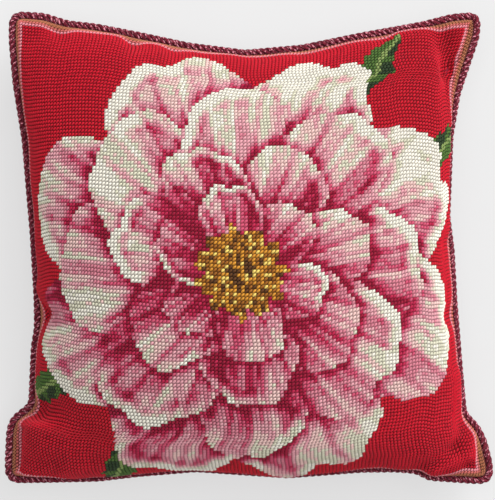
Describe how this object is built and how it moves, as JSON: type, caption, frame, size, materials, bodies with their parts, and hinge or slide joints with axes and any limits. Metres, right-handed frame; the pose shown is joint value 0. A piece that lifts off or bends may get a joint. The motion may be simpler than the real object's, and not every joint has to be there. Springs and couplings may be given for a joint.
{
  "type": "needlepoint cushion",
  "caption": "Square stuffed cushion lying on its back, with a domed stitched wool front, a plain cloth back and a twisted rope trim sewn round the seam.",
  "frame": {"origin": "centre of the cushion's bounding box, at the level of the surface that it lies on", "axes": "+X to the right across the stitched face, +Y to the top of its pattern, +Z out of the stitched face"},
  "size_m": [0.3678, 0.3554, 0.1367],
  "materials": {
    "back_cloth": "short dull pile",
    "stitched_wool": "matt wool tent stitch",
    "rope_yarn": "twisted yarn with a slight sheen"
  },
  "bodies": {
    "root": {"cushion_body": "back_cloth", "needlepoint_front": "stitched_wool", "rope_trim": "rope_yarn"}
  },
  "joints": []
}
